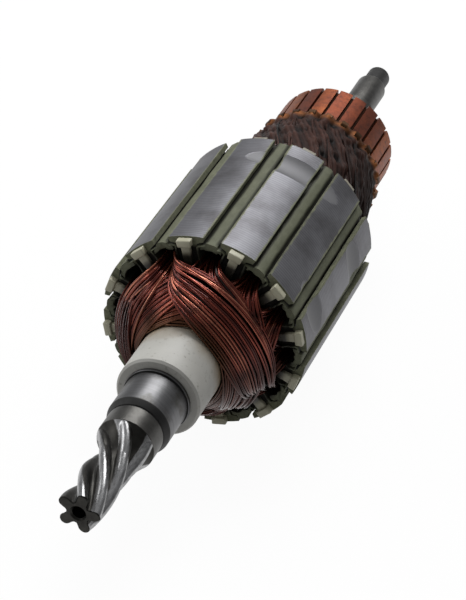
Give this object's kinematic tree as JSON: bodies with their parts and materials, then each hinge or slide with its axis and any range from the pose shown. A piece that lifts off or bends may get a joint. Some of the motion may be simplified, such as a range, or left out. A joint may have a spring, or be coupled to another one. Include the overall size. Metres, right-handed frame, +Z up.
{
  "type": "motor armature",
  "caption": "Wound universal-motor armature: steel shaft with a helical pinion, slotted laminated core, enamelled copper coils and a copper commutator.",
  "frame": {"origin": "on the shaft's axis, in the middle of the drive-end bearing seat", "axes": "+X along the shaft from the pinion towards the commutator, +Z up with the armature lying on its side on the two tooth edges beside a slot"},
  "size_m": [0.2043, 0.0498, 0.0498],
  "materials": {
    "shaft_steel": "ground, with black unground steps",
    "sleeve_plastic": "moulded, pale grey",
    "core_steel": "turned lamination edges",
    "insulator_plastic": "moulded, cream",
    "liner_paper": "varnished grey-green slot paper",
    "wedge_fibre": "varnished grey-green fibre",
    "enamelled_copper": "enamelled and varnished copper wire",
    "lead_copper": "varnished copper wire",
    "hub_moulding": "dark moulded resin",
    "bush_steel": "turned",
    "bar_copper": "turned copper, tarnished"
  },
  "bodies": {
    "root": {"shaft": "shaft_steel", "shaft_sleeve": "sleeve_plastic", "lamination_stack": "core_steel", "pinion_end_insulator": "insulator_plastic", "commutator_end_insulator": "insulator_plastic", "slot_liners": "liner_paper", "slot_wedges": "wedge_fibre", "coil_01": "enamelled_copper", "coil_02": "enamelled_copper", "coil_03": "enamelled_copper", "coil_04": "enamelled_copper", "coil_05": "enamelled_copper", "coil_06": "enamelled_copper", "coil_07": "enamelled_copper", "coil_08": "enamelled_copper", "coil_09": "enamelled_copper", "coil_10": "enamelled_copper", "coil_11": "enamelled_copper", "coil_12": "enamelled_copper", "coil_leads": "lead_copper", "commutator_bush": "bush_steel", "commutator_hub": "hub_moulding", "commutator_bars": "bar_copper"}
  },
  "joints": []
}
